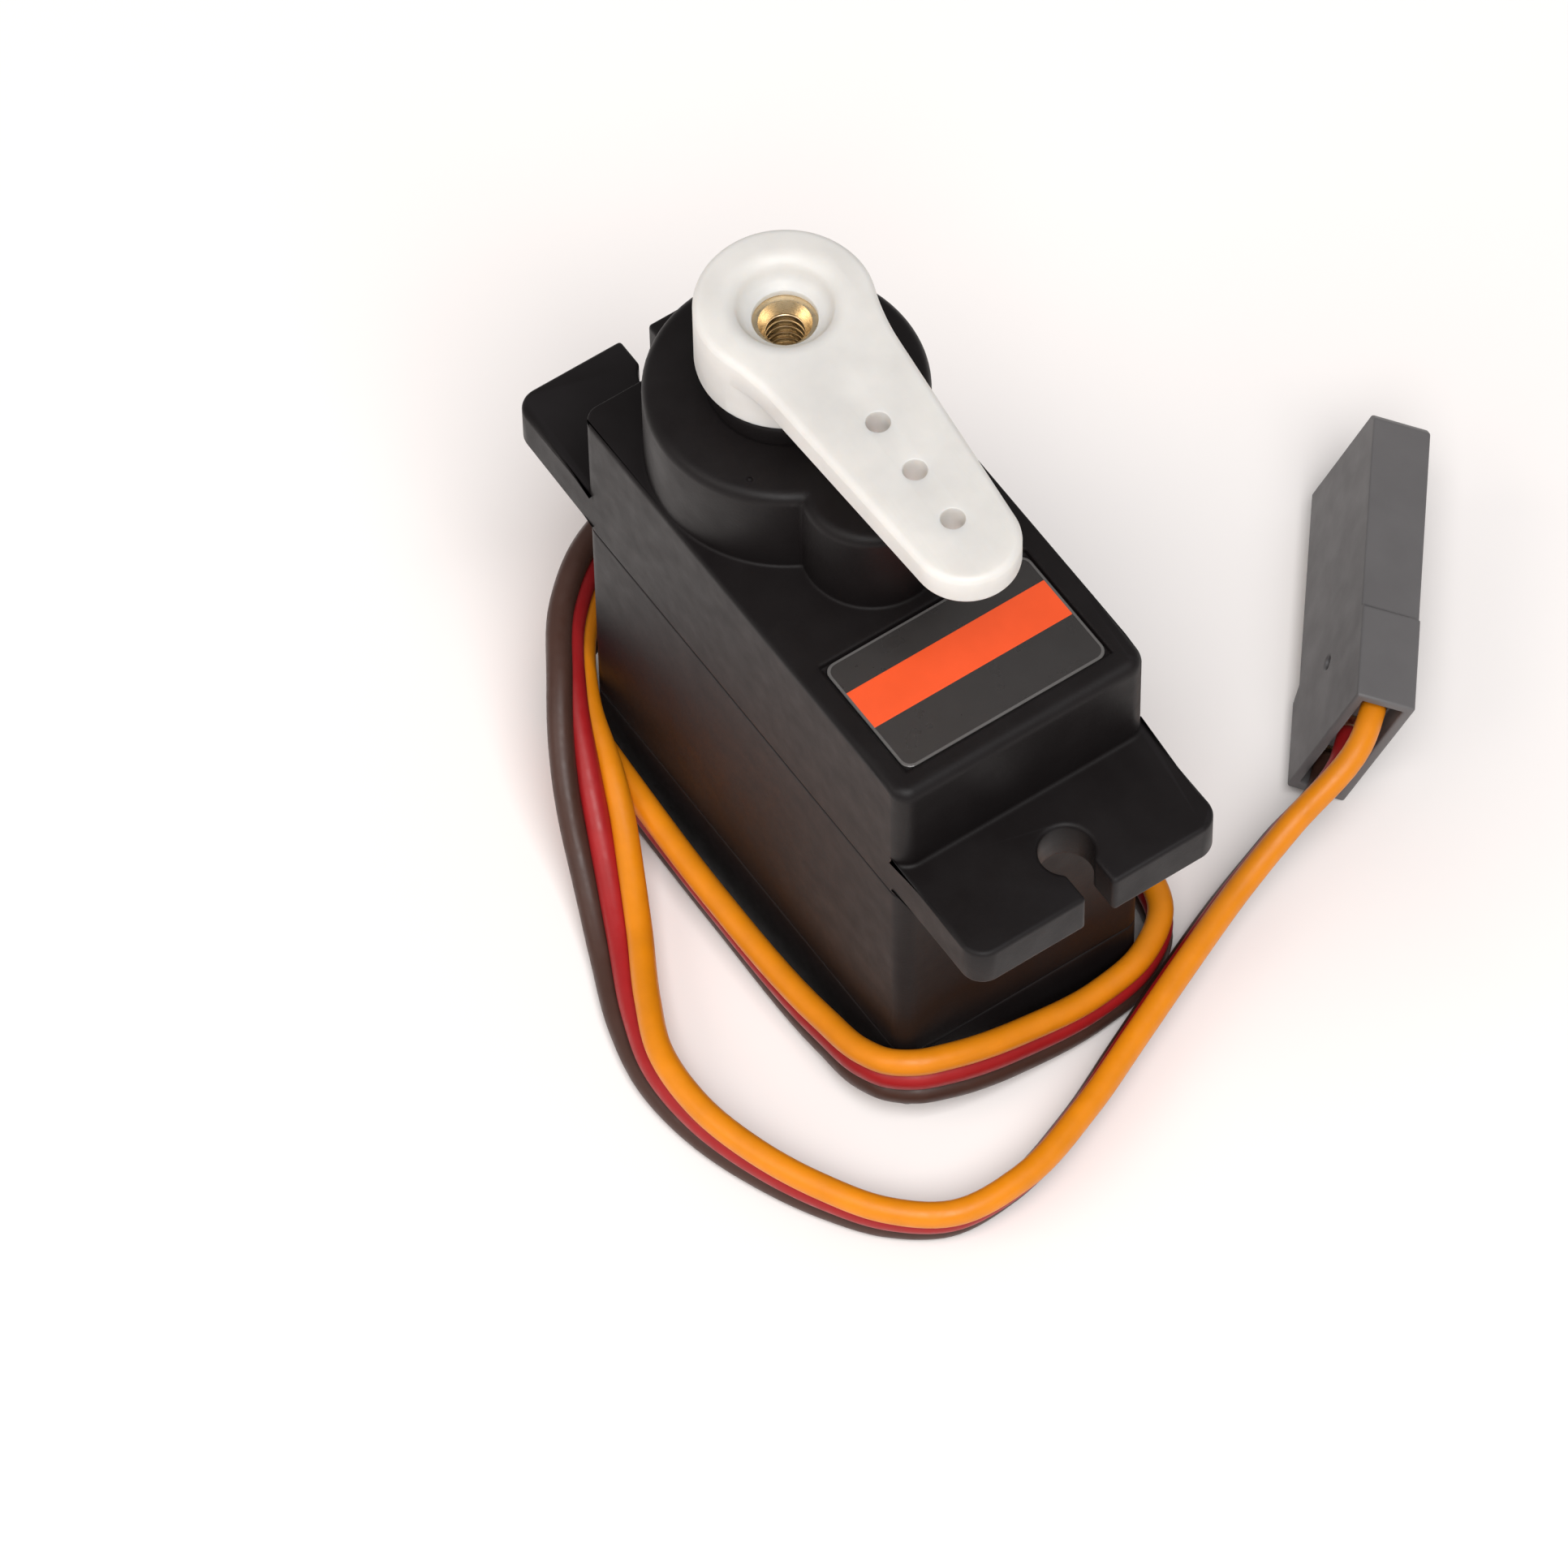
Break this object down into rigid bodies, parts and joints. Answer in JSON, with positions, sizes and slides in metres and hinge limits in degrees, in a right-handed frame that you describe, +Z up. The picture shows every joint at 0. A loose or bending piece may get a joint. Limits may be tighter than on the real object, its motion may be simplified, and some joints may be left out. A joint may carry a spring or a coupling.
{
  "type": "servo motor",
  "caption": "Sub-micro hobby servo: geared motor in a plastic case with two keyhole mounting ears, single-arm horn and a three-wire lead with plug.",
  "frame": {"origin": "centre of the underside of the case, on the surface it stands on", "axes": "+Z up along the output shaft, +X along the case towards the motor end, +Y across the case"},
  "size_m": [0.0352, 0.0435, 0.0331],
  "materials": {
    "case_plastic": "fine matte moulded",
    "label": "satin printed label",
    "label_orange": "satin printed label",
    "horn_plastic": "white nylon, satin",
    "gear_plastic": "natural nylon",
    "brass": "turned",
    "steel": "turned, zinc plated",
    "can_steel": "drawn, nickel plated",
    "cream_plastic": "moulded",
    "blue_plastic": "moulded",
    "board_green": "glass-fibre board with solder mask",
    "chip_black": "moulded epoxy",
    "grommet_rubber": "matte",
    "wire_brown": "satin vinyl",
    "wire_red": "satin vinyl",
    "wire_orange": "satin vinyl",
    "plug_plastic": "moulded"
  },
  "bodies": {
    "case": {"top_case": "case_plastic", "middle_case": "case_plastic", "bottom_cover": "case_plastic", "case_screws": "steel", "label_plate": "label", "label_stripe": "label_orange", "shaft_collar": "case_plastic", "lower_bearing": "brass", "idler_pin": "steel", "motor_can": "can_steel", "motor_end_cap": "cream_plastic", "potentiometer_body": "blue_plastic", "control_board": "board_green", "board_chips": "chip_black", "cable_grommet": "grommet_rubber", "wire_brown": "wire_brown", "wire_red": "wire_red", "wire_orange": "wire_orange", "plug_housing": "plug_plastic", "plug_sockets": "brass"},
    "output": {"output_gear": "brass", "output_shaft": "brass", "pot_wiper": "brass", "servo_horn": "horn_plastic"},
    "idler_one": {"first_gear": "gear_plastic"},
    "idler_two": {"second_gear": "gear_plastic"},
    "idler_three": {"third_gear": "gear_plastic"},
    "rotor": {"motor_pinion": "gear_plastic", "motor_shaft": "steel"}
  },
  "joints": [
    {"name": "output_turn", "type": "hinge", "parent": "case", "child": "output", "pos_m": [-0.0053, 0, 0.03], "axis": [0, 0, 1], "range_deg": [-90, 90]},
    {"name": "third_gear_turn", "type": "hinge", "parent": "case", "child": "idler_three", "pos_m": [0.0007, 0, 0.022], "axis": [0, 0, 1], "range_deg": [-271, 271]},
    {"name": "second_gear_turn", "type": "hinge", "parent": "case", "child": "idler_two", "pos_m": [-0.0053, 0, 0.019], "axis": [0, 0, 1], "range_deg": [-811, 811]},
    {"name": "first_gear_turn", "type": "hinge", "parent": "case", "child": "idler_one", "pos_m": [0.0007, 0, 0.018], "axis": [0, 0, 1], "range_deg": [-2431, 2431]},
    {"name": "motor_turn", "type": "hinge", "parent": "case", "child": "rotor", "pos_m": [0.0061, 0, 0.01], "axis": [0, 0, 1], "range_deg": [-7291, 7291]}
  ],
  "couplings": [
    {"joint": "third_gear_turn", "follows": "output_turn", "ratio": -3},
    {"joint": "second_gear_turn", "follows": "output_turn", "ratio": 9},
    {"joint": "first_gear_turn", "follows": "output_turn", "ratio": -27},
    {"joint": "motor_turn", "follows": "output_turn", "ratio": 81}
  ]
}
